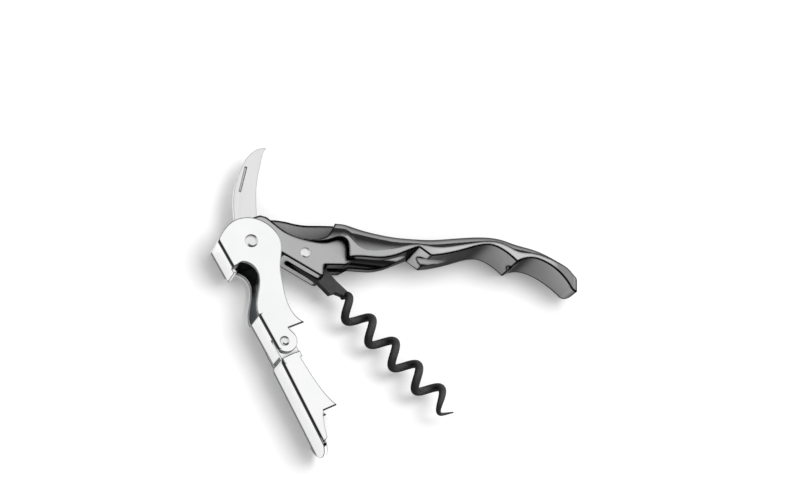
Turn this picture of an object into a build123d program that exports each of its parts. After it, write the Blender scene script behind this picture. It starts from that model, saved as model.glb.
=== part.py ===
from build123d import *
from math import atan2, cos, degrees, hypot, radians, sin, sqrt
import os

# Two step lever corkscrew, millimetres. Working frame: head pivot at 0,0, +X to the tail,
# +Y to the back of the handle, +Z across the width. It lies on its side, levers half open.

# widths, measured out from the middle plane
grip_half = 7.8          # wide part of the handle, which the tool lies on
lever_half = 7.2         # outside of both levers
sheet = 1.2              # lever sheet
fold_bend = 1.5          # outside radius where the sheet is folded
washer_gap = 0.5         # between a lever cheek and the head, filled by a washer
cheek_in = lever_half - sheet
head_half = cheek_in - washer_gap     # narrow head, between the lever's cheeks
ear_play = 0.05          # between the two levers at their hinge
ear_out = cheek_in - ear_play
ear_in = ear_out - sheet
ear_r = 3.3              # lower lever's ears, round the hinge
knife_thick = 2.0
paddle_thick = 3.0
slot_gap = 0.05          # clearance each side of the knife and the paddle
run_gap = 0.05           # radial clearance of every turning joint
lift = 0.03              # under a rivet head that a lever turns beneath
through = 2 * grip_half  # half width of a cut that goes right across

# pivots and rivets
worm_pivot = (18.1, -0.9)
hinge_pivot = (12.7, -31.6)
head_shaft, head_dome = 1.5, 2.15
worm_shaft, worm_dome = 1.1, 1.65
hinge_shaft, hinge_dome = 1.0, 1.6
rivet_rise = 0.6         # top of a head over the lever's outside
worm_dome_rise = 0.35
washer_r = 3.4
washer_play = 0.025      # clearance of a washer's faces
washer_fit = 0.02        # clearance of its bore

# worm, u along its axis and v beside it, from its pivot
worm_angle = -40.4       # direction of the open worm
worm_folded = 2.0        # direction when it lies in the handle
worm_offset = -1.0       # axis beside its pivot
wire_r = 1.35
coil_r = 3.2
pitch = 10.57
coil_start = 18.55
coil_turns = 4.0         # at full thickness, the first part included
neck_turn = 0.25         # part of a turn in which the wire leaves the shank
neck_in = 0.6            # how far it starts inside the coil
tip_turn = 0.85          # part of a turn in the drawn point
tip_r = 0.2
tip_draw = 0.3           # share by which the point is drawn in
tip_long = pitch * tip_turn
tip_end = coil_start + pitch * coil_turns + tip_long
worm_outer = coil_r + wire_r
eye_r = 3.9              # round end of the flat shank
shank = [(0, eye_r), (5.0, 3.3), (9.0, 2.6), (13.0, 2.3), (18.6, 2.5), (19.2, 1.4), (18.8, 0.9),
         (15.6, -0.6), (14.8, -2.4), (9.0, -2.4), (4.0, -3.4), (0, -eye_r)]
channel_gap = 0.45       # round the folded worm
channel_start = 13.6     # beyond its pivot
channel_end = 1.5        # beyond its tip

# handle stations: x, height of the side crease, height of the back, widening from head 0 to grip 1
crown_root = 2.5         # centre of the crown's curve, below the crease
side_trim = 0.1          # taken off the grip's sides to make them flat
stations = [
    (4.0, 9.0, 10.4, 0), (8.0, 6.9, 11.1, 0), (12.0, 4.8, 11.2, 0.04), (18.0, 3.5, 11.2, 0.2),
    (23.0, 3.5, 11.7, 0.48), (27.0, 4.8, 11.9, 0.76), (31.0, 6.0, 11.9, 1), (34.0, 3.6, 11.5, 1),
    (37.5, 2.0, 10.9, 1), (42.0, 2.5, 10.3, 1), (46.5, 3.6, 9.9, 1), (51.0, 5.3, 9.8, 1),
    (55.5, 6.3, 10.0, 1), (61.0, 6.1, 10.7, 1), (67.0, 7.3, 11.9, 1), (73.0, 9.1, 13.1, 1),
    (79.0, 10.6, 13.9, 1), (85.0, 10.1, 13.8, 1), (89.5, 8.4, 13.0, 1), (94.0, 8.5, 12.2, 1),
    (99.0, 7.7, 10.9, 1), (104.0, 5.9, 8.8, 1), (108.5, 2.9, 6.3, 1), (113.5, -1.2, 2.0, 1),
]
blank_low = -14.0        # underside of the blank, before its curves are cut

# side view curves of the handle
belly_front = [(31.9, -1.4), (37.2, -0.5), (42.7, -0.1), (46.3, 0.9), (50.4, 2.9)]
claw_relief = [(55.1, 5.4), (59.3, 2.9)]
belly_mid = [(64.8, 4.3), (71.1, 6.7), (76.6, 8.9), (79.8, 9.4), (83.1, 8.6), (86.4, 6.8), (89.0, 4.8)]
belly_tail = [(92.0, 6.4), (94.8, 6.9), (98.6, 6.2), (103.3, 4.0), (108.3, -0.2)]
tail_nose = [(110.6, -1.5), (112.9, 1.0)]
below = [(116.0, 1.0), (116.0, -30.0)]
tail_plan = [(95.0, 0), (102.0, 0.45), (107.0, 1.5), (110.0, 2.9), (112.0, 5.2)]   # x, in from the side
tail_tip = 112.6
plan_start = -20.0
lip = [(4.5, 9.2), (7.7, 7.0), (11.2, 4.9), (14.6, 3.8), (18.0, 3.4), (21.6, 3.3), (25.0, 3.7)]
lip_end = [(27.3, 4.7), (29.3, 5.1), (30.9, 4.2), (31.7, 1.5), belly_front[0]]
front_room = [(31.9, -20.0), (-12.0, -20.0), (-12.0, 14.0), (3.5, 14.0)]
front_cut = [(-12.0, 20.0), (-12.0, -20.0), (31.9, -20.0), belly_front[0], (20.0, 2.0), (4.0, 6.0), (2.0, 20.0)]

# side view of the head, its slots and its pocket
head_end = [(-3.2, 6.8), (-7.5, 0), (-2.6, -7.0)]
head_rest = [(1.6, -5.1), (8.0, -1.9), (10.1, -1.9), (23.4, -8.0), (24.4, -8.0), (24.4, -4.2), (31.7, -3.3),
             (34.5, -1.4), (34.5, 4.0), (20.0, 4.0), (4.5, 9.3), (2.6, 9.6)]
thumb_ramp = [(4.6, 9.3), (7.7, 7.3), (11.2, 5.2), (14.6, 4.1), (18.0, 3.7), (21.6, 3.9), (24.6, 5.2),
              (26.2, 7.6), (27.4, 10.2), (28.6, 13.0)]
sky = 1.5 * max(back for x, crease, back, widening in stations)   # past the back, for open cuts
leaf_far = [(7.0, 0), (19.0, 3.0), (34.5, 0)]      # leaf shaped opening seen from the back: x, width
leaf_near = (19.0, -1.6)
leaf_floor = [(5.0, 1.8), (18.0, 2.6), (21.0, 4.4), (25.0, 6.0), (36.0, 8.2)]
slot_floor = [(-3.8, -3.0), (0, -4.6), (4.4, -3.4), (9.5, -0.9), (14.5, 1.9), (18.0, 3.4), (21.0, 5.2),
              (28.0, 6.6), (33.0, 7.4), (36.8, 8.4)]
pocket = [(-6.2, 2.2), (-5.6, -3.4), (-2.4, -4.6), (-2.4, 12.0), (-6.2, 12.0)]
pocket_wall = 1.7
eye_room = [(-4.9, -0.7), (-1.7, 4.6), (0.5, 4.9)]  # arc of the worm's slot, from the worm's pivot
worm_side = [(33.5, 4.4), (34.6, 4.4), (34.6, -14.0)]

# lever outlines in the side view
upper_top = [(-10.5, -1.5), (-8.2, 3.6), (-5.5, 6.3), (-1.1, 7.75), (3.5, 7.0), (6.8, 5.0), (9.0, 2.3),
             (9.9, -1.5), (9.8, -5.5), (10.0, -8.5), (10.8, -12.2), (12.3, -17.4), (15.0, -22.2),
             (18.6, -24.6)]
upper_heel = [(13.7, -27.2), (14.9, -28.3)]
upper_nose = (3.576, -1.788)    # end of the hinge cheek, from the hinge
upper_fold = [(10.4, -33.8), (4.6, -24.9)]
upper_notch = [(3.5, -14.0), (3.1, -10.9), (1.8, -8.7), (-0.4, -7.4), (-2.6, -7.4), (-4.1, -8.6)]
bridge_fold = [(-5.3, -9.4), (-10.5, -1.5)]
cap_lip = 1.6            # length of the cap lifter's lip
cap_lip_in = 1.4         # each side of it
tongue = 3.0             # stop tongue on the back plate
tongue_in = 0.25         # clearance to the ears
ear_room = 0.35          # round the ears, in the back plate
ear_relief = 0.15        # beside them
lower_edge = [(17.4, -35.2), (19.7, -38.5), (23.4, -43.4), (27.0, -47.4), (30.5, -50.2)]
lower_heel = [(26.4, -52.5), (26.3, -54.2), (27.2, -58.0), (28.0, -60.8), (26.9, -62.9)]
lower_fold = [(26.9, -62.9), (12.4, -38.6)]
lower_top = [(12.4, -38.6), (12.3, -37.3), (16.4, -34.8)]
plate_round = 3.1        # rounded end of the lower back plate
plate_in = 0.6
plate_root = 2.0
step_foot = 6.6          # where the ears step in from the cheeks, below the hinge
step_top = 4.75
step_half = 3.0
step_front = 3.1
step_skin = 0.02

# foil knife and its spring
knife_spine = [(-4.7, 8.6), (-5.5, 14.4), (-5.5, 18.7), (-4.9, 22.3), (-3.7, 26.8), (-2.0, 30.6),
               (0.3, 33.4), (3.9, 34.7)]
knife_edge = [(3.9, 34.7), (3.0, 32.6), (2.5, 29.4), (1.9, 25.3), (1.6, 20.5), (1.9, 15.0), (2.4, 9.5)]
tang = [(3.9, 1.0), (2.8, -2.9), (-1.0, -3.9), (-3.7, -1.5), (-3.6, 3.0)]
nail_nick = [(-2.6, 27.4), (-1.9, 27.2), (-3.4, 18.3), (-4.0, 18.5)]
nick_deep = 0.4
spring_under = [(4.9, -2.8), (6.6, -2.0), (9.0, -0.9), (12.0, 0.8), (14.6, 2.5), (18.0, 4.05), (22.0, 4.7),
                (27.0, 5.1)]
spring_thick = 0.55


def direction(a, b):
    length = hypot(b[0] - a[0], b[1] - a[1])
    return (b[0] - a[0]) / length, (b[1] - a[1]) / length


def along(point, way, distance):
    return point[0] + way[0] * distance, point[1] + way[1] * distance


def slab(face, low, high):
    # a flat side view shape made solid between two heights
    return Pos(0, 0, low) * extrude(face, high - low)


def polygon(points):
    return make_face(Polyline(*points, close=True))


def outline(*pieces):
    # closed face from runs of points; a run marked True is a smooth curve
    edges = []
    for smooth, points in pieces:
        edges += [Spline(*points)] if smooth else [Polyline(*points)]
    return make_face(Wire(edges=[e for run in edges for e in run.edges()]))


def disc(centre, radius, low, high):
    return Pos(centre[0], centre[1], (low + high) / 2) * Cylinder(radius, high - low)


def crown(x, crease, back, half, reach):
    # half an ellipse over the back, through the creases at half and on down to the blank's side
    rise = back - crease + crown_root
    wide = half / sqrt(1 - (crown_root / rise) ** 2)
    places = [reach * share for share in (-1, -0.9, -0.6, 0, 0.6, 0.9, 1)]
    return [(x, back - rise + rise * sqrt(1 - (z / wide) ** 2), z) for z in places]


def handle_blank():
    # lofted sections, a little wide, trimmed to flat sides up to the crease
    sections = []
    for x, crease, back, widening in stations:
        half = head_half + widening * (grip_half - head_half)
        reach = half + widening * side_trim
        top = crown(x, crease, back, half, reach)
        sides = Polyline(top[-1], (x, blank_low, reach), (x, blank_low, -reach), top[0])
        sections.append(make_face(Wire(edges=sides.edges() + Spline(*top).edges())))
    length = 2 * stations[-1][0]
    return loft(sections) & Box(2 * length, length, 2 * grip_half)


def handle_under():
    # everything below the underside, cut straight across
    start, tail = belly_front[0], belly_tail[-1]
    end = ThreePointArc(tail, *tail_nose).edges()
    end += Polyline(tail_nose[-1], *below, (start[0], below[-1][1]), start).edges()
    runs = Spline(*belly_front).edges() + Polyline(belly_front[-1], *claw_relief).edges()
    runs += Spline(claw_relief[-1], *belly_mid).edges() + Spline(belly_mid[-1], *belly_tail).edges()
    return make_face(Wire(edges=runs + end))


def tail_tool():
    # plan of the whole handle, wider than its sides until the tail rounds in
    side = [(x, grip_half - inward) for x, inward in tail_plan] + [(tail_tip, 0)]
    other = [(x, -w) for x, w in reversed(side)]
    wide, root = grip_half + 1, side[0][0]
    face = outline((False, [(plan_start, wide), (root, wide), side[0]]), (True, side), (True, other),
                   (False, [other[-1], (root, -wide), (plan_start, -wide), (plan_start, wide)]))
    return Rot(X=90) * Pos(0, 0, -2 * sky) * extrude(face, 4 * sky)


def cheek_pocket():
    # room beside the head for the lever, up to the lip and out to the grip
    face = outline((False, [belly_front[0], *front_room, lip[0]]), (True, lip + lip_end))
    return slab(face, head_half, through) + slab(face, -through, -head_half)


def head_blank():
    # ears and rounded end wall round the head pivot
    end = ThreePointArc(*head_end)
    rest = Polyline(head_end[-1], *head_rest, head_end[0])
    return slab(make_face(Wire(edges=end.edges() + rest.edges())), -head_half, head_half)


def thumb_scoop():
    # near side opening to the blade's nail nick
    first, last = thumb_ramp[0], thumb_ramp[-1]
    face = outline((True, thumb_ramp), (False, [last, (last[0], sky), (first[0], sky), first]))
    return slab(face, knife_thick / 2 + slot_gap, through)


def leaf_opening():
    # leaf shaped opening seen from the back, wider than the blade
    back = leaf_far[::-1]
    face = make_face(Wire(edges=ThreePointArc(*leaf_far).edges()
                          + ThreePointArc(back[0], leaf_near, back[-1]).edges()))
    floor = polygon([*leaf_floor, (leaf_floor[-1][0], sky), (leaf_floor[0][0], sky)])
    return Rot(X=90) * Pos(0, 0, -sky) * extrude(face, sky) & slab(floor, -through, through)


def knife_slot():
    reach = knife_thick / 2 + slot_gap
    return slab(polygon([(slot_floor[0][0], sky), *slot_floor, (slot_floor[-1][0], sky)]), -reach, reach)


def head_room():
    # pocket behind the end wall, and the slot that the worm's shank swings in
    reach, pocket_half = paddle_thick / 2 + slot_gap, head_half - pocket_wall
    arc = [(worm_pivot[0] + x, worm_pivot[1] + y) for x, y in eye_room]
    side = Polyline(arc[-1], *worm_side, (arc[0][0], worm_side[-1][1]), arc[0])
    shape = make_face(Wire(edges=ThreePointArc(*arc).edges() + side.edges()))
    return slab(polygon(pocket), -pocket_half, pocket_half) + slab(shape, -reach, reach)


def worm_channel():
    # round topped channel that takes the folded worm
    way = (cos(radians(worm_folded)), sin(radians(worm_folded)))
    base = along(worm_pivot, (-way[1], way[0]), worm_offset)
    start = along(base, way, channel_start)
    length, reach = tip_end + channel_end - channel_start, worm_outer + channel_gap
    place = Pos(start[0], start[1], 0) * Rot(Z=worm_folded)
    bore = place * Rot(Y=90) * Pos(0, 0, length / 2) * Cylinder(reach, length)
    return bore + place * Pos(length / 2, -2 * reach, 0) * Box(length, 4 * reach, 2 * reach)


def make_handle():
    body = handle_blank() & tail_tool()
    body -= slab(handle_under(), -through, through)
    body -= slab(polygon(front_cut), -through, through)
    body -= cheek_pocket()
    body += head_blank()
    body -= thumb_scoop()
    body -= leaf_opening()
    body -= knife_slot() + head_room() + worm_channel()
    body -= make_spring()
    body -= disc((0, 0), head_shaft, -through, through) + disc(worm_pivot, worm_shaft, -through, through)
    return body


def strip(a, b, thick, before=0.0, after=0.0):
    # side view of a plate standing on a fold line, metal on the left of a to b
    way = direction(a, b)
    inward = (-way[1], way[0])
    p, q = along(a, way, -before), along(b, way, after)
    return polygon([p, q, along(q, inward, thick), along(p, inward, thick)])


def upper_profile():
    nose = (hinge_pivot[0] + upper_nose[0], hinge_pivot[1] + upper_nose[1])
    end = ThreePointArc(upper_heel[-1], nose, upper_fold[0])
    return make_face(Wire(edges=(Spline(*upper_top).edges() + Polyline(upper_top[-1], *upper_heel).edges()
                                 + end.edges() + Polyline(*upper_fold).edges()
                                 + Spline(upper_fold[-1], *upper_notch, bridge_fold[0]).edges()
                                 + Polyline(*bridge_fold).edges())))


def bend_cutter(a, b):
    # takes the sharp corner off one fold line, at both sides of the sheet
    way, spare = direction(a, b), 1.0
    length = hypot(b[0] - a[0], b[1] - a[1]) + 2 * spare
    size, middle = fold_bend + spare, (fold_bend - spare) / 2
    corner = Pos(0, middle, lever_half - middle) * Box(length, size, size)
    corner -= Pos(0, fold_bend, lever_half - fold_bend) * Rot(Y=90) * Cylinder(fold_bend, length + spare)
    place = Pos((a[0] + b[0]) / 2, (a[1] + b[1]) / 2, 0) * Rot(Z=degrees(atan2(way[1], way[0])))
    return place * (corner + mirror(corner, about=Plane.XY))


def folded(profile, keep, folds):
    # channel bent from sheet: solid between the outsides, hollowed inside, rounded at the folds
    whole = slab(profile, -lever_half, lever_half)
    inside = slab(profile, -cheek_in, cheek_in)
    for plate in keep:
        inside -= slab(plate, -cheek_in, cheek_in)
    whole -= inside
    for a, b in folds:
        whole -= bend_cutter(a, b)
    return whole


def make_upper_lever():
    bridge = strip(bridge_fold[1], bridge_fold[0], sheet, 1, 1)
    back = strip(upper_fold[1], upper_fold[0], sheet, 1, 1)
    body = folded(upper_profile(), [bridge, back], [bridge_fold[::-1], upper_fold[::-1]])
    way = direction(upper_fold[1], upper_fold[0])
    stop = strip(upper_fold[0], along(upper_fold[0], way, tongue), sheet, 1)
    body += slab(stop, tongue_in - ear_in, ear_in - tongue_in)
    room = disc(hinge_pivot, ear_r + ear_room, ear_in - ear_relief, cheek_in)
    body -= room + mirror(room, about=Plane.XY)
    way, half = direction(bridge_fold[1], bridge_fold[0]), cheek_in - cap_lip_in
    body += slab(strip(bridge_fold[0], along(bridge_fold[0], way, cap_lip), sheet, 1), -half, half)
    body -= disc((0, 0), head_shaft + run_gap, -through, through)
    return body - disc(hinge_pivot, hinge_shaft, -through, through)


def plate_end(end, way):
    # rounded end of the lower lever's back plate
    edge = lever_half - plate_in
    root = Polyline((0, -edge), (-plate_root, -edge), (-plate_root, edge), (0, edge))
    tip = ThreePointArc((0, edge), (plate_round, 0), (0, -edge))
    face = make_face(Wire(edges=tip.edges() + root.edges()))
    place = Pos(end[0], end[1], 0) * Rot(Z=degrees(atan2(way[1], way[0])))
    return place * Rot(X=90) * Pos(0, 0, -sheet) * extrude(face, sheet)


def make_lower_lever():
    profile = outline((True, lower_edge), (False, [lower_edge[-1]] + lower_heel), (False, lower_fold),
                      (False, lower_top + [lower_edge[0]]))
    back = strip(lower_fold[1], lower_fold[0], sheet, 1, 1)
    body = folded(profile, [back], [lower_fold[::-1]])
    way = direction(lower_fold[1], lower_fold[0])
    body += plate_end(lower_fold[0], way)
    # ears set inside the upper lever's cheeks, with a step in the sheet below them
    foot, side = along(hinge_pivot, way, step_foot), (-way[1], way[0])
    wings = [along(foot, side, s) for s in (-step_front, step_half)]
    top = [along(along(hinge_pivot, way, step_top), side, s) for s in (step_half, -step_front)]
    ear = disc(hinge_pivot, ear_r, ear_in, ear_out)
    sides = [along(hinge_pivot, side, ear_r), along(hinge_pivot, side, -ear_r)]
    ear += slab(polygon(wings + sides), ear_in, ear_out)
    ear += slab(polygon(wings + top), ear_in, lever_half - step_skin)
    body += ear + mirror(ear, about=Plane.XY)
    return body - disc(hinge_pivot, hinge_shaft + run_gap, -through, through)


def wire_ring(turn, r, thick):
    # round section of the wire at a turn of the coil, square to its run
    a = radians(360 * turn)
    around, outward = Vector(0, -sin(a), cos(a)), Vector(0, cos(a), sin(a))
    way = Vector(pitch, 0, 0) + around * (2 * 3.14159265 * r)
    centre = Vector(coil_start + pitch * turn, worm_offset, 0) + outward * r
    return Plane(origin=centre, z_dir=way) * Circle(thick)


def make_worm():
    # forged flat shank on its pivot, then the coil and a drawn point
    half = paddle_thick / 2
    body = slab(polygon(shank), -half, half) + Cylinder(eye_r, paddle_thick)
    body += worm_neck()
    body += worm_coil()
    body += worm_tip()
    body -= Cylinder(worm_shaft + run_gap, 2 * through)
    return Pos(worm_pivot[0], worm_pivot[1], 0) * Rot(Z=worm_angle) * body


def worm_neck():
    # the wire grows out of the shank's end and opens to the coil's radius
    rings = []
    for i in range(-1, 5):
        t = i / 4
        rings.append(wire_ring(neck_turn * t, coil_r - neck_in * (1 - t) ** 2, wire_r))
    return loft(rings)


def worm_coil():
    # the helix is made along Z, then laid along +X and turned to where the neck ends
    turns = coil_turns - neck_turn
    path = Helix(pitch, pitch * turns, coil_r)
    start = Plane(origin=path @ 0, z_dir=path % 0)
    wire = sweep(start * Circle(wire_r), path=path)
    place = Pos(coil_start + pitch * neck_turn, worm_offset, 0) * Rot(X=360 * neck_turn)
    return place * Rot(Y=90) * Rot(Z=90) * wire


def worm_tip():
    # last part turn, drawn in towards the axis and thinned to a point
    rings = []
    for i in range(9):
        t = i / 8
        rings.append(wire_ring(coil_turns + tip_turn * t, coil_r * (1 - tip_draw * t ** 3),
                               wire_r + (tip_r - wire_r) * t ** 1.25))
    return loft(rings)


def make_knife():
    round_end = ThreePointArc(*tang[:3]).edges() + ThreePointArc(*tang[2:]).edges()
    sides = Polyline(knife_edge[-1], tang[0]).edges() + Polyline(tang[-1], knife_spine[0]).edges()
    curves = Spline(*knife_spine).edges() + Spline(*knife_edge).edges()
    face = make_face(Wire(edges=curves + round_end + sides))
    blade = slab(face, -knife_thick / 2, knife_thick / 2)
    blade -= slab(polygon(nail_nick), knife_thick / 2 - nick_deep, knife_thick)
    return blade - disc((0, 0), head_shaft + run_gap, -through, through)


def make_spring():
    # flat spring between the blade and the worm's shank, pressed into the handle at its long end
    upper = [(x, y + spring_thick) for x, y in reversed(spring_under)]
    face = outline((True, spring_under), (False, [spring_under[-1], upper[0]]), (True, upper),
                   (False, [upper[-1], spring_under[0]]))
    return slab(face, -knife_thick / 2, knife_thick / 2)


def dome(centre, radius, base, rise):
    # low rounded rivet head standing on a face at height base
    ball = (radius * radius + rise * rise) / (2 * rise)
    head = Pos(centre[0], centre[1], base + rise - ball) * Sphere(ball)
    return head & disc(centre, radius, base, base + rise + 1)


def rivet(centre, shaft, head, base, top):
    # shaft between two heads, each a short rim under a dome
    rim = base + (top - base) * 0.3
    half = disc(centre, shaft, 0, base + (top - base) * 0.3) + disc(centre, head, base, rim)
    half += dome(centre, head, rim, top - rim)
    return half + mirror(half, about=Plane.XY)


def washer(low):
    high = low + washer_gap - 2 * washer_play
    return disc((0, 0), washer_r, low, high) - disc((0, 0), head_shaft + washer_fit, low - 1, high + 1)


lever_top = lever_half + rivet_rise
parts = {
    "handle_body": make_handle(),
    "upper_lever": make_upper_lever(),
    "lower_lever": make_lower_lever(),
    "worm": make_worm(),
    "knife_blade": make_knife(),
    "knife_spring": make_spring(),
    "head_rivet": rivet((0, 0), head_shaft, head_dome, lever_half + lift, lever_top),
    "worm_rivet": rivet(worm_pivot, worm_shaft, worm_dome, head_half, head_half + worm_dome_rise),
    "hinge_rivet": rivet(hinge_pivot, hinge_shaft, hinge_dome, lever_half, lever_top),
    "washer_near": washer(head_half + washer_play),
    "washer_far": washer(washer_play - cheek_in),
}

# the row frame: origin under the middle of the bounding box
boxes = [p.bounding_box() for p in parts.values()]
mid_x = (min(b.min.X for b in boxes) + max(b.max.X for b in boxes)) / 2
mid_y = (min(b.min.Y for b in boxes) + max(b.max.Y for b in boxes)) / 2
low_z = min(b.min.Z for b in boxes)

os.makedirs("parts", exist_ok=True)
for name, shape in parts.items():
    placed = Pos(-mid_x, -mid_y, -low_z) * shape
    placed.label = name
    export_step(placed, "parts/" + name + ".step")
    size = placed.bounding_box().size
    print(name, len(placed.solids()), "solid", round(placed.volume, 1), "mm3",
          round(size.X, 1), round(size.Y, 1), round(size.Z, 1))
print("head pivot at", round(-mid_x, 4), round(-mid_y, 4), round(-low_z, 4))
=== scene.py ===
import bpy, bmesh
import numpy as np
from math import radians
from mathutils import Matrix, Vector


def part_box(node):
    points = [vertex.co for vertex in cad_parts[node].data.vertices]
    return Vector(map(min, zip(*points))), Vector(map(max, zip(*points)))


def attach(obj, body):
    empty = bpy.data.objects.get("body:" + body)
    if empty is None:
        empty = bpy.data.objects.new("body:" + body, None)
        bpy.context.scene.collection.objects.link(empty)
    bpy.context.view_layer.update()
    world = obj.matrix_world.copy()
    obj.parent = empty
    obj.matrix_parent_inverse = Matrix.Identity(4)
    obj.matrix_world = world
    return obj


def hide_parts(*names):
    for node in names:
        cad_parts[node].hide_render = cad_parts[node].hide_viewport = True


# Lever corkscrew lying on its side on white paper, levers and worm half open. Metres, the CAD's own frame.
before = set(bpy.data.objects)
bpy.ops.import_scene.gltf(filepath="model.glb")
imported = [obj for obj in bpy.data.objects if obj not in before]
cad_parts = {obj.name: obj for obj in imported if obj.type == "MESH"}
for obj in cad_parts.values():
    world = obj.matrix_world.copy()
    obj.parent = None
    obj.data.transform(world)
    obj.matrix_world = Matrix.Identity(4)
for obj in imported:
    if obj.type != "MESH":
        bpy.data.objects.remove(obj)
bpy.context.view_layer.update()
print("frame loaded", len(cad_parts), "nodes")

middlePlane = 0.0078     # height of the tool's middle over the paper
noiseRange = (0.3, 0.7)  # part of a noise's values that is used


def grey(level):
    return (level,) * 3


def newMaterial(name, **sockets):
    # one Principled shader with its constant values, and object coordinates to hang detail on
    material = bpy.data.materials.new(name)
    material.use_nodes = True
    tree = material.node_tree
    shader = tree.nodes["Principled BSDF"]
    for socket, value in sockets.items():
        shader.inputs[socket.replace("_", " ")].default_value = value
    place = tree.nodes.new("ShaderNodeTexCoord")
    return material, tree, shader, place.outputs["Object"]


def feed(tree, value, socket):
    # links an output, or sets a plain number, direction or colour
    if isinstance(value, bpy.types.NodeSocket):
        tree.links.new(value, socket)
    else:
        socket.default_value = (*value, 1) if socket.type == "RGBA" else value


def number(tree, operation, *values):
    # a Math node fed with outputs or plain numbers
    node = tree.nodes.new("ShaderNodeMath")
    node.operation = operation
    for value, socket in zip(values, node.inputs):
        feed(tree, value, socket)
    return node.outputs[0]


def product(tree, value, *others):
    # all the values multiplied
    for other in others:
        value = number(tree, "MULTIPLY", value, other)
    return value


def likeness(tree, vector, direction):
    # 1 where both point the same way, 0 where they stand square; for a place, its measure along the direction
    node = tree.nodes.new("ShaderNodeVectorMath")
    node.operation = "DOT_PRODUCT"
    feed(tree, vector, node.inputs[0])
    feed(tree, direction, node.inputs[1])
    return node.outputs["Value"]


def rising(tree, value, start, end, low=0, high=1):
    # low at start, high at end, and level outside them
    remap = tree.nodes.new("ShaderNodeMapRange")
    for name, setting in (("From Min", start), ("From Max", end), ("To Min", low), ("To Max", high)):
        remap.inputs[name].default_value = setting
    tree.links.new(value, remap.inputs["Value"])
    return remap.outputs["Result"]


def split(tree, vector):
    apart = tree.nodes.new("ShaderNodeSeparateXYZ")
    tree.links.new(vector, apart.inputs[0])
    return apart.outputs


def outward(tree):
    # the way the surface faces, in the tool's own frame
    return tree.nodes.new("ShaderNodeTexCoord").outputs["Normal"]


def roundedEdge(tree, radius, bends=(0.93, 0.99), samples=8):
    # normals rounded over each edge, and a mask that is 0 on the edge and 1 away from it
    rounded = tree.nodes.new("ShaderNodeBevel")
    rounded.samples, rounded.inputs["Radius"].default_value = samples, radius
    plain = tree.nodes.new("ShaderNodeNewGeometry")
    bend = likeness(tree, rounded.outputs["Normal"], plain.outputs["Normal"])
    return rounded.outputs["Normal"], rising(tree, bend, *bends)


def stripe(tree, place, start, end, width, soft):
    # 1 on the band that lies on the left of the line from start to end, and 0 off it
    start, end = Vector((*start, 0)), Vector((*end, 0))
    run = (end - start).normalized()
    bands = []
    for way, reach in ((run, (end - start).length), (Vector((-run.y, run.x, 0)), width)):
        distance = number(tree, "SUBTRACT", likeness(tree, place, way), way.dot(start))
        bands.append(product(tree, rising(tree, distance, -3 * soft, -soft),
                             rising(tree, distance, reach + soft, reach - soft)))
    return product(tree, *bands)


def recess(tree, reach, closed, clear, samples=8, local=True):
    # 0 deep in a slot or corner, 1 in the open; where local is true only the piece itself gives shelter
    shelter = tree.nodes.new("ShaderNodeAmbientOcclusion")
    shelter.samples, shelter.only_local = samples, local
    shelter.inputs["Distance"].default_value = reach
    return rising(tree, shelter.outputs["AO"], closed, clear)


def mixColour(tree, fac, low, high):
    # low where fac is 0, high where it is 1; each is a colour or an output
    mix = tree.nodes.new("ShaderNodeMix")
    mix.data_type = "RGBA"
    tree.links.new(fac, mix.inputs["Factor"])
    feed(tree, low, mix.inputs["A"])
    feed(tree, high, mix.inputs["B"])
    return mix.outputs["Result"]


def grain(tree, place, scale, stretch=(1, 1, 1), detail=3.0, turn=(0, 0, 0)):
    # noise in object space, drawn out along an axis for brushed metal
    mapping = tree.nodes.new("ShaderNodeMapping")
    mapping.inputs["Scale"].default_value = stretch
    mapping.inputs["Rotation"].default_value = turn
    tree.links.new(place, mapping.inputs["Vector"])
    noise = tree.nodes.new("ShaderNodeTexNoise")
    noise.inputs["Scale"].default_value = scale
    noise.inputs["Detail"].default_value = detail
    tree.links.new(mapping.outputs["Vector"], noise.inputs["Vector"])
    return noise.outputs["Fac"]


def spread(tree, fac, low, high):
    # a noise turned into a value between low and high
    return rising(tree, fac, *noiseRange, low, high)


def tint(tree, fac, dark, light):
    # a noise turned into a colour between two close ones
    ramp = tree.nodes.new("ShaderNodeValToRGB")
    for stop, at, colour in zip(ramp.color_ramp.elements, noiseRange, (dark, light)):
        stop.position, stop.color = at, (*colour, 1)
    tree.links.new(fac, ramp.inputs["Fac"])
    return ramp.outputs["Color"]


def relief(tree, shader, fac, strength, distance, normal=None):
    # small waves of the surface, on top of the rounded edges where there are any
    bump = tree.nodes.new("ShaderNodeBump")
    bump.inputs["Strength"].default_value = strength
    bump.inputs["Distance"].default_value = distance
    tree.links.new(fac, bump.inputs["Height"])
    if normal:
        tree.links.new(normal, bump.inputs["Normal"])
    tree.links.new(bump.outputs["Normal"], shader.inputs["Normal"])


# Bright plated sheet. Pairs are where a mask starts and ends; shelter is a reach, closed and open; relief is a
# strength and a depth. The steps are lines in the tool's flat plane, tip to root.
# The edge colour and its paler one on the cheeks are painted reflection; the inside colour is painted shade.
chromeFinish = dict(dark=(0.885, 0.89, 0.895), light=(0.93, 0.93, 0.935), smooth=0.05, rough=0.12,
                    edge=(0.045, 0.045, 0.048), rim=(0.60, 0.605, 0.61), inside=(0.38, 0.39, 0.395),
                    edgeRadius=0.0007, upright=(0.90, 0.75), flat=(0.90, 0.98),
                    nearFold=(0.0058, 0.0060), farFold=(-0.0040, -0.0042), inwards=(-0.001, -0.004),
                    steps=(((-0.03735, -0.01177), (-0.03245, -0.00917)),
                           ((-0.02465, -0.03707), (-0.02055, -0.03477))),
                    stepEdge=0.00045, stepSoft=0.0001, shelter=(0.014, 0.45, 0.92),
                    cloud=dict(scale=90, detail=4), polish=dict(scale=260), waves=dict(scale=420, detail=2),
                    relief=(0.03, 0.0001))


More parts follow.
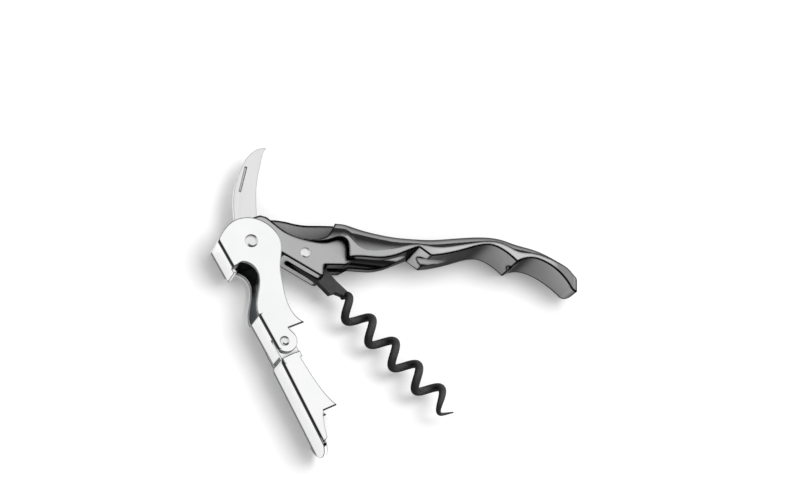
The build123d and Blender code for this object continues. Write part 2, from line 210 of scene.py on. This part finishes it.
def makeChrome():
    material, tree, shader, place = newMaterial("leverChrome", Metallic=1.0)
    normal, paintedEdgeMask = roundedEdge(tree, chromeFinish["edgeRadius"])
    slope = split(tree, outward(tree))["Z"]
    steep = number(tree, "ABSOLUTE", slope)
    height = number(tree, "SUBTRACT", split(tree, place)["Z"], middlePlane)
    cloud = grain(tree, place, **chromeFinish["cloud"])
    face = tint(tree, cloud, chromeFinish["dark"], chromeFinish["light"])
    # painted reflection: the folds along both sides, and the faces turned inwards, are painted with the dark that
    # the studio floor would show in them
    sides = number(tree, "MAXIMUM", rising(tree, height, *chromeFinish["nearFold"]),
                   rising(tree, height, *chromeFinish["farFold"]))
    paintedFold = product(tree, rising(tree, steep, *chromeFinish["upright"]), sides)
    face = mixColour(tree, paintedFold, face, chromeFinish["edge"])
    inwards = rising(tree, product(tree, slope, height), *chromeFinish["inwards"])
    face = mixColour(tree, inwards, face, chromeFinish["inside"])
    # painted shade: the recesses of the sheet get the darker inside colour
    face = mixColour(tree, recess(tree, *chromeFinish["shelter"]), chromeFinish["inside"], face)
    # painted reflection: cut edges get dark lines painted on, paler round the flat cheeks, and the steps have a
    # broader painted line
    paintedEdgeLine = mixColour(tree, rising(tree, steep, *chromeFinish["flat"]), chromeFinish["edge"], chromeFinish["rim"])
    face = mixColour(tree, paintedEdgeMask, paintedEdgeLine, face)
    for start, end in chromeFinish["steps"]:
        band = stripe(tree, place, start, end, chromeFinish["stepEdge"], chromeFinish["stepSoft"])
        face = mixColour(tree, band, face, chromeFinish["edge"])
    tree.links.new(face, shader.inputs["Base Color"])
    polish = grain(tree, place, **chromeFinish["polish"])
    tree.links.new(spread(tree, polish, chromeFinish["smooth"], chromeFinish["rough"]), shader.inputs["Roughness"])
    relief(tree, shader, grain(tree, place, **chromeFinish["waves"]), *chromeFinish["relief"], normal)
    return material


# The cast handle: dark plated curves, and flats ground paler and a little rougher, the paleness partly a painted
# reflection.
gunmetalFinish = dict(dark=(0.28, 0.28, 0.283), light=(0.32, 0.32, 0.323), smooth=0.07, rough=0.14,
                      flatDark=(0.44, 0.44, 0.445), flatLight=(0.48, 0.48, 0.485), flatRough=0.24,
                      gripFlat=(0.60, 0.60, 0.605), gripFrom=(0.006, 0.012), flat=(0.985, 0.998), flatFrom=0.0050,
                      lips=grey(0.56), underside=(-0.47, -0.883, 0), lipFrom=(0.96, 0.985),
                      edge=grey(0.006), edgeRadius=0.0012, bends=(0.982, 0.9985), inside=grey(0.045),
                      inwards=(-0.003, -0.001), shelter=(0.010, 0.45, 0.86), tintAtEdge=(*grey(0.15), 1),
                      cloud=dict(scale=60, detail=4), polish=dict(scale=200),
                      waves=dict(scale=300, detail=2), relief=(0.04, 0.0001))


def makeGunmetal():
    material, tree, shader, place = newMaterial("gunmetalPolish", Metallic=1.0,
                                                Specular_Tint=gunmetalFinish["tintAtEdge"])
    normal, paintedEdgeMask = roundedEdge(tree, gunmetalFinish["edgeRadius"], gunmetalFinish["bends"])
    facing, spot = outward(tree), split(tree, place)
    slope = split(tree, facing)["Z"]
    height = number(tree, "SUBTRACT", spot["Z"], middlePlane)
    cloud = grain(tree, place, **gunmetalFinish["cloud"])
    # only the outer flats, away from the middle plane, are ground; their paler colour, palest on the grip, is partly
    # a painted reflection
    flatFacing = rising(tree, number(tree, "ABSOLUTE", slope), *gunmetalFinish["flat"])
    outer = number(tree, "GREATER_THAN", number(tree, "ABSOLUTE", height), gunmetalFinish["flatFrom"])
    outerFlat = product(tree, outer, flatFacing)
    cast = tint(tree, cloud, gunmetalFinish["dark"], gunmetalFinish["light"])
    flat = tint(tree, cloud, gunmetalFinish["flatDark"], gunmetalFinish["flatLight"])
    gripping = rising(tree, spot["X"], *gunmetalFinish["gripFrom"])
    flat = mixColour(tree, gripping, flat, gunmetalFinish["gripFlat"])
    face = mixColour(tree, outerFlat, cast, flat)
    # the lips under the head are ground as well; their paler colour is partly a painted reflection of the paper
    lips = rising(tree, likeness(tree, facing, gunmetalFinish["underside"]), *gunmetalFinish["lipFrom"])
    lips = product(tree, lips, number(tree, "SUBTRACT", 1.0, gripping))
    face = mixColour(tree, lips, face, gunmetalFinish["lips"])
    # painted shade: dark in the slots and channel of the head, not along the open grip, and on the faces turned
    # inwards
    clear = number(tree, "MAXIMUM", recess(tree, *gunmetalFinish["shelter"]), gripping)
    inwards = rising(tree, product(tree, slope, height), *gunmetalFinish["inwards"])
    face = mixColour(tree, product(tree, clear, inwards), gunmetalFinish["inside"], face)
    # painted reflection: dark lines along the edges and creases of the casting
    tree.links.new(mixColour(tree, paintedEdgeMask, gunmetalFinish["edge"], face), shader.inputs["Base Color"])
    polish = grain(tree, place, **gunmetalFinish["polish"])
    dull = tree.nodes.new("ShaderNodeMix")
    tree.links.new(outerFlat, dull.inputs["Factor"])
    tree.links.new(spread(tree, polish, gunmetalFinish["smooth"], gunmetalFinish["rough"]), dull.inputs["A"])
    dull.inputs["B"].default_value = gunmetalFinish["flatRough"]
    tree.links.new(dull.outputs["Result"], shader.inputs["Roughness"])
    relief(tree, shader, grain(tree, place, **gunmetalFinish["waves"]), *gunmetalFinish["relief"], normal)
    return material


# The worm's black coat: its sides are duller, and painted shade makes them darker than what faces up or down.
coatFinish = dict(dark=grey(0.045), light=grey(0.065), side=grey(0.002), smooth=0.30, rough=0.42,
                  sideRough=0.80, shine=0.18, level=(0.3, 0.9),
                  cloud=dict(scale=500, detail=4), waves=dict(scale=2600, detail=2), relief=(0.18, 0.00005))


def makeCoat():
    material, tree, shader, place = newMaterial("wormCoat", Specular_IOR_Level=coatFinish["shine"])
    cloud = grain(tree, place, **coatFinish["cloud"])
    steep = number(tree, "ABSOLUTE", split(tree, outward(tree))["Z"])
    level = rising(tree, steep, *coatFinish["level"])
    face = tint(tree, cloud, coatFinish["dark"], coatFinish["light"])
    # painted shade on the sides of the coil
    tree.links.new(mixColour(tree, level, coatFinish["side"], face), shader.inputs["Base Color"])
    dull = product(tree, number(tree, "SUBTRACT", 1.0, level), coatFinish["sideRough"] - coatFinish["rough"])
    gloss = spread(tree, cloud, coatFinish["smooth"], coatFinish["rough"])
    tree.links.new(number(tree, "ADD", gloss, dull), shader.inputs["Roughness"])
    relief(tree, shader, grain(tree, place, **coatFinish["waves"]), *coatFinish["relief"])
    return material


# Blade steel, brushed along the blade; the lines run a few degrees off the Y axis.
bladeFinish = dict(dark=(0.74, 0.74, 0.75), light=(0.80, 0.80, 0.81), smooth=0.20, rough=0.30,
                   edge=(0.16, 0.16, 0.17), edgeRadius=0.0003, shelter=(0.0012, 0.45, 0.75),
                   lines=dict(scale=700, stretch=(1, 0.06, 1), turn=(0, 0, radians(-6))), relief=(0.08, 0.00005))


def makeBlade():
    material, tree, shader, place = newMaterial("bladeSteel", Metallic=1.0)
    normal, paintedEdgeMask = roundedEdge(tree, bladeFinish["edgeRadius"])
    lines = grain(tree, place, **bladeFinish["lines"])
    face = tint(tree, lines, bladeFinish["dark"], bladeFinish["light"])
    # painted shade in the nick and narrow grooves, and painted reflection as dark lines along the edges
    face = mixColour(tree, recess(tree, *bladeFinish["shelter"]), bladeFinish["edge"], face)
    tree.links.new(mixColour(tree, paintedEdgeMask, bladeFinish["edge"], face), shader.inputs["Base Color"])
    tree.links.new(spread(tree, lines, bladeFinish["smooth"], bladeFinish["rough"]), shader.inputs["Roughness"])
    relief(tree, shader, lines, *bladeFinish["relief"], normal)
    return material


rivetFinish = dict(dark=(0.74, 0.74, 0.75), light=(0.82, 0.82, 0.82), smooth=0.10, rough=0.18,
                   cloud=dict(scale=500), waves=dict(scale=1500, detail=2), relief=(0.05, 0.00005))


def makeRivetSteel():
    material, tree, shader, place = newMaterial("rivetSteel", Metallic=1.0)
    cloud = grain(tree, place, **rivetFinish["cloud"])
    tree.links.new(tint(tree, cloud, rivetFinish["dark"], rivetFinish["light"]), shader.inputs["Base Color"])
    tree.links.new(spread(tree, cloud, rivetFinish["smooth"], rivetFinish["rough"]), shader.inputs["Roughness"])
    relief(tree, shader, grain(tree, place, **rivetFinish["waves"]), *rivetFinish["relief"])
    return material


finish = dict(chrome=makeChrome(), gunmetal=makeGunmetal(), coat=makeCoat(), blade=makeBlade(),
              rivet=makeRivetSteel())
print("finishes ready")


def addPiece(name, data, body, node, material):
    # puts a finished mesh in the scene: it rides on a body and stands for a CAD node
    data.materials.clear()
    data.materials.append(material)
    piece = bpy.data.objects.new(name, data)
    bpy.context.scene.collection.objects.link(piece)
    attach(piece, body)
    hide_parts(node)
    print(name, len(data.polygons), "faces")


def flatRegions(shape, level=0.1, leastFaces=5, leastArea=6e-7):
    # numbers the runs of faces that lie in one plane; small ones, such as the strips of a curve, get -1
    region = {}
    for seed in shape.faces:
        if seed.index in region:
            continue
        run, waiting = [], [seed]
        region[seed.index] = seed.index
        while waiting:
            face = waiting.pop()
            run.append(face)
            for edge in face.edges:
                for other in edge.link_faces:
                    if other.index not in region and seed.normal.angle(other.normal, 0) < radians(level):
                        region[other.index] = seed.index
                        waiting.append(other)
        if len(run) < leastFaces or sum(face.calc_area() for face in run) < leastArea:
            for face in run:
                region[face.index] = -1
    return region


def smoothCopy(node, name, body, material, sharp=30, merge=2e-6):
    # a merged copy of the solid's mesh: smooth over its curves, crisp at its edges and round its flat faces
    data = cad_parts[node].data.copy()
    data.name = name
    shape = bmesh.new()
    shape.from_mesh(data)
    bmesh.ops.remove_doubles(shape, verts=shape.verts, dist=merge)
    shape.faces.index_update()
    region = flatRegions(shape)
    for face in shape.faces:
        face.smooth = True
    for edge in shape.edges:
        beside = [region[face.index] for face in edge.link_faces]
        parted = len(set(beside)) > 1 and max(beside) >= 0
        edge.smooth = not parted and edge.calc_face_angle(0) < radians(sharp)
    shape.to_mesh(data)
    shape.free()
    addPiece(name, data, body, node, material)


smoothCopy("handle_body", "handleCasting", "handle", finish["gunmetal"])
smoothCopy("upper_lever", "upperLeverSheet", "upper_lever", finish["chrome"])
smoothCopy("lower_lever", "lowerLeverSheet", "lower_lever", finish["chrome"])
smoothCopy("knife_blade", "foilKnife", "knife", finish["blade"])

# Radius of the shaft, thickness of a head, part of it that is domed.
rivets = dict(head_rivet=dict(name="headRivetDomed", body="handle", shaft=0.0015, head=0.00057, dome=0.00050),
              worm_rivet=dict(name="wormRivetDomed", body="handle", shaft=0.0011, head=0.00035, dome=0.00032),
              hinge_rivet=dict(name="hingeRivetDomed", body="upper_lever", shaft=0.0010, head=0.00060, dome=0.00050))
rivetShape = dict(rings=17, around=48, crown=2.4, sharp=30, merge=1e-7)


def makeRivet(node, name, body, shaft, head, dome):
    # a profile turned round the axis: height falls from the crown with a power of the radius, then a short
    # straight rim, the underside, the shaft, and the same again at the other end
    low, high = (np.array(corner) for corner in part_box(node))
    centre, radius = (low + high) / 2, (high[0] - low[0]) / 2
    share = np.linspace(0, 1, rivetShape["rings"])
    reach = np.concatenate([radius * share, [radius, shaft]])
    height = high[2] - centre[2] - np.concatenate([dome * share ** rivetShape["crown"], [head, head]])
    reach = np.concatenate([reach, reach[::-1]])
    height = np.concatenate([height, -height[::-1]])
    turn = np.linspace(0, 2 * np.pi, rivetShape["around"], endpoint=False)
    points = np.stack([centre[0] + np.outer(reach, np.cos(turn)), centre[1] + np.outer(reach, np.sin(turn)),
                       np.broadcast_to((centre[2] + height)[:, None], (len(reach), len(turn)))], -1)
    rows, columns = points.shape[:2]
    start = np.arange(rows - 1)[:, None] * columns
    first, following = start + np.arange(columns)[None], start + (np.arange(columns)[None] + 1) % columns
    quads = np.stack([first, first + columns, following + columns, following], -1).reshape(-1, 4)
    data = bpy.data.meshes.new(name)
    data.from_pydata(points.reshape(-1, 3), [], quads)
    shape = bmesh.new()
    shape.from_mesh(data)
    bmesh.ops.remove_doubles(shape, verts=shape.verts, dist=rivetShape["merge"])
    bmesh.ops.recalc_face_normals(shape, faces=shape.faces)
    for edge in shape.edges:
        edge.smooth = edge.calc_face_angle(0) < radians(rivetShape["sharp"])
    for face in shape.faces:
        face.smooth = True
    shape.to_mesh(data)
    shape.free()
    addPiece(name, data, body, node, finish["rivet"])


for node, values in rivets.items():
    makeRivet(node, **values)


def wearFinish(node, material):
    # a CAD solid that shows as it is gets its material
    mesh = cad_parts[node].data
    mesh.materials.clear()
    mesh.materials.append(material)
    print(node, "dressed")


for node in ("washer_near", "washer_far", "knife_spring"):
    wearFinish(node, finish["blade"])
wearFinish("worm", finish["coat"])

# Lift and mirrored are the light that the camera and the metal see added to the paper. Close to the piece only
# the least share of the lift is left, a painted contact shadow for the camera.
paperLook = dict(size=1.6, tone=0.6, rough=0.9, shine=0.1, lift=0.56, mirrored=0.75, least=0.35,
                 shelter=(0.014, 0.4, 1), samples=16)


def makePaper():
    half = paperLook["size"] / 2
    data = bpy.data.meshes.new("paper")
    data.from_pydata([(-half, -half, 0), (half, -half, 0), (half, half, 0), (-half, half, 0)], [], [(0, 1, 2, 3)])
    paper = bpy.data.objects.new("paper", data)
    bpy.context.scene.collection.objects.link(paper)
    material, tree, shader = newMaterial("whitePaper", Base_Color=(*grey(paperLook["tone"]), 1),
                                         Roughness=paperLook["rough"], Specular_IOR_Level=paperLook["shine"],
                                         Emission_Color=(*grey(1), 1))[:3]
    rays = tree.nodes.new("ShaderNodeLightPath")
    mirrored = product(tree, rays.outputs["Is Glossy Ray"], paperLook["mirrored"])
    # painted contact shadow: close to the piece the lift that the camera sees falls away
    clear = recess(tree, *paperLook["shelter"], samples=paperLook["samples"], local=False)
    shade = number(tree, "MULTIPLY_ADD", clear, 1 - paperLook["least"], paperLook["least"])
    seen = product(tree, rays.outputs["Is Camera Ray"], shade)
    lift = number(tree, "MULTIPLY_ADD", seen, paperLook["lift"], mirrored)
    tree.links.new(lift, shader.inputs["Emission Strength"])
    data.materials.append(material)


# Directions point from the piece. Stops are the height of a direction and the level there; soft is the share
# that lights the paper. The glow is a grey wall low on the right, the arc a dark shape in front.
room = dict(stops=((0, 0.09), (0.36, 0.09), (0.52, 0.35), (0.76, 1.02), (1, 1.02)), soft=0.5,
            glow=(0.92, 0.28, 0.27), glowRim=(0.80, 0.90), glowLevel=0.85,
            arc=(0.25, 0.34, 0.906), arcInner=(0.80, 0.74), arcOuter=(0.45, 0.50), arcFront=(0.05, -0.05),
            arcLeft=(-0.32, -0.20), arcLevel=0.03)


def makeSky():
    # white for the camera; for light and reflections pale above, with a darker band round the horizon
    world = bpy.data.worlds.new("studio")
    bpy.context.scene.world = world
    world.use_nodes = True
    tree = world.node_tree
    back = tree.nodes["Background"]
    aim = tree.nodes.new("ShaderNodeTexCoord").outputs["Generated"]
    apart = split(tree, aim)
    ramp = tree.nodes.new("ShaderNodeValToRGB")
    stops = ramp.color_ramp.elements
    for at, level in room["stops"][1:-1]:
        stops.new(at)
    for stop, (at, level) in zip(stops, room["stops"]):
        stop.position, stop.color = at, (*grey(level), 1)
    tree.links.new(apart["Z"], ramp.inputs["Fac"])
    glow = rising(tree, likeness(tree, aim, room["glow"]), *room["glowRim"])
    shown = mixColour(tree, glow, ramp.outputs["Color"], grey(room["glowLevel"]))
    # the arc gives the domes of the rivets their shaded side
    around = likeness(tree, aim, room["arc"])
    arc = product(tree, rising(tree, around, *room["arcInner"]), rising(tree, around, *room["arcOuter"]),
                  rising(tree, apart["Y"], *room["arcFront"]), rising(tree, apart["X"], *room["arcLeft"]))
    shown = mixColour(tree, arc, shown, grey(room["arcLevel"]))
    rays = tree.nodes.new("ShaderNodeLightPath")
    tree.links.new(mixColour(tree, rays.outputs["Is Camera Ray"], shown, grey(1)), back.inputs["Color"])
    # what lights the paper is weaker than what shows in the metal, so the lamp's shadow is seen
    tree.links.new(rising(tree, rays.outputs["Is Diffuse Ray"], 0, 1, 1, room["soft"]), back.inputs["Strength"])


keyLamp = dict(at=(0.27, 0.19, 0.74), aim=(0, 0, 0), size=(0.45, 0.45), power=5.0)


def makeLamp(name, at, aim, size, power):
    lamp = bpy.data.lights.new(name, "AREA")
    lamp.shape, lamp.energy = "RECTANGLE", power
    lamp.size, lamp.size_y = size
    holder = bpy.data.objects.new(name, lamp)
    holder.location = at
    holder.rotation_euler = (Vector(aim) - Vector(at)).to_track_quat("-Z", "Y").to_euler()
    holder.visible_glossy = False   # the sky alone shows in the metal
    bpy.context.scene.collection.objects.link(holder)


view = dict(at=(-0.157325, -0.188367, 0.5698), forward=(0.25353, 0.338, -0.90636), up=(-0.12941, 0.9404, 0.31449),
            lens=85.14, sensor=36, nearest=0.01)


def makeCamera():
    data = bpy.data.cameras.new("camera")
    data.lens, data.sensor_width, data.clip_start = view["lens"], view["sensor"], view["nearest"]
    camera = bpy.data.objects.new("camera", data)
    back = -Vector(view["forward"]).normalized()
    right = Vector(view["up"]).cross(back).normalized()
    turn = Matrix((right, back.cross(right), back)).transposed().to_4x4()
    camera.matrix_world = Matrix.Translation(view["at"]) @ turn
    bpy.context.scene.collection.objects.link(camera)
    bpy.context.scene.camera = camera


makePaper()
makeSky()
makeLamp("key", **keyLamp)
makeCamera()
bpy.context.scene.view_settings.view_transform = "Standard"
print("studio ready")
